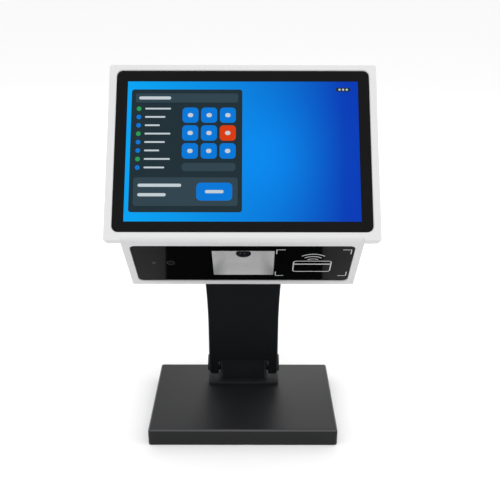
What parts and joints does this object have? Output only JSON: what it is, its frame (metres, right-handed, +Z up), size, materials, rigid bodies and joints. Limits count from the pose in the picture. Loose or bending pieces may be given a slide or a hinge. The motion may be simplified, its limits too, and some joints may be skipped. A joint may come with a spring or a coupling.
{
  "type": "desktop self checkout kiosk",
  "caption": "Desktop self checkout kiosk: leaned touch screen head with a scan and card panel in its chin, on a tilting steel column and weighted base.",
  "frame": {"origin": "on the floor under the middle of the bounding box", "axes": "+Z up, the customer stands at -Y and looks along +Y, +X to the customer's right"},
  "size_m": [0.253, 0.1326, 0.3506],
  "materials": {
    "white_housing": "smooth satin white moulding",
    "display_module": "display module casing",
    "cover_glass": "black printed cover glass over a lit display",
    "gloss_black": "polished black acrylic",
    "hood_grey": "matt light grey moulding",
    "black_coat": "fine satin black powder coat",
    "bare_steel": "zinc plated",
    "dark_steel": "blackened",
    "aluminium": "extruded",
    "black_plastic": "moulded",
    "circuit_board": "solder mask",
    "lens": "dark polished lens",
    "rubber": "matt"
  },
  "bodies": {
    "base": {"base_tray": "black_coat", "base_bottom_plate": "black_coat", "weight_plate": "bare_steel", "rubber_foot_1": "rubber", "rubber_foot_2": "rubber", "rubber_foot_3": "rubber", "rubber_foot_4": "rubber", "foot_plate": "black_coat", "foot_bracket": "black_coat", "foot_screw_1": "bare_steel", "foot_screw_2": "bare_steel", "foot_screw_3": "bare_steel", "foot_screw_4": "bare_steel", "foot_hinge_bolt_left": "black_coat", "foot_hinge_bush_left": "dark_steel", "foot_hinge_washer_left": "black_plastic", "foot_hinge_nut_left": "bare_steel", "foot_hinge_bolt_right": "black_coat", "foot_hinge_bush_right": "dark_steel", "foot_hinge_washer_right": "black_plastic", "foot_hinge_nut_right": "bare_steel"},
    "column": {"column_channel": "black_coat", "column_cover": "black_coat"},
    "head": {"front_housing": "white_housing", "cover_glass": "cover_glass", "lcd_panel": "display_module", "panel_tray": "bare_steel", "mainboard": "circuit_board", "heat_sink": "aluminium", "speaker_left": "black_plastic", "speaker_right": "black_plastic", "scanner_panel": "gloss_black", "scan_hood": "hood_grey", "scan_lens": "lens", "scan_engine": "black_plastic", "camera_ring": "black_plastic", "camera_module": "lens", "presence_sensor": "black_plastic", "card_antenna_board": "circuit_board", "rear_cover": "white_housing", "dc_inlet": "black_plastic", "usb_socket_1": "bare_steel", "usb_socket_2": "bare_steel", "power_switch": "circuit_board", "head_bracket": "black_coat", "bracket_screw_1": "bare_steel", "bracket_screw_2": "bare_steel", "bracket_screw_3": "bare_steel", "bracket_screw_4": "bare_steel", "head_hinge_bolt_left": "black_coat", "head_hinge_bush_left": "dark_steel", "head_hinge_washer_left": "black_plastic", "head_hinge_nut_left": "bare_steel", "head_hinge_bolt_right": "black_coat", "head_hinge_bush_right": "dark_steel", "head_hinge_washer_right": "black_plastic", "head_hinge_nut_right": "bare_steel"},
    "power_button": {"power_button": "black_plastic"}
  },
  "joints": [
    {"name": "column_pivot", "type": "hinge", "parent": "base", "child": "column", "pos_m": [0, 0.03075, 0.0345], "axis": [1, 0, 0], "range_deg": [-15, 10]},
    {"name": "head_tilt", "type": "hinge", "parent": "column", "child": "head", "pos_m": [0, 0.03075, 0.1615], "axis": [1, 0, 0], "range_deg": [-25, 7]},
    {"name": "power_press", "type": "slide", "parent": "head", "child": "power_button", "axis": [0, -0.9592, 0.2827], "range_m": [0, 0.0012], "stiffness_N_per_m": 2000, "springref_m": -0.0003}
  ]
}
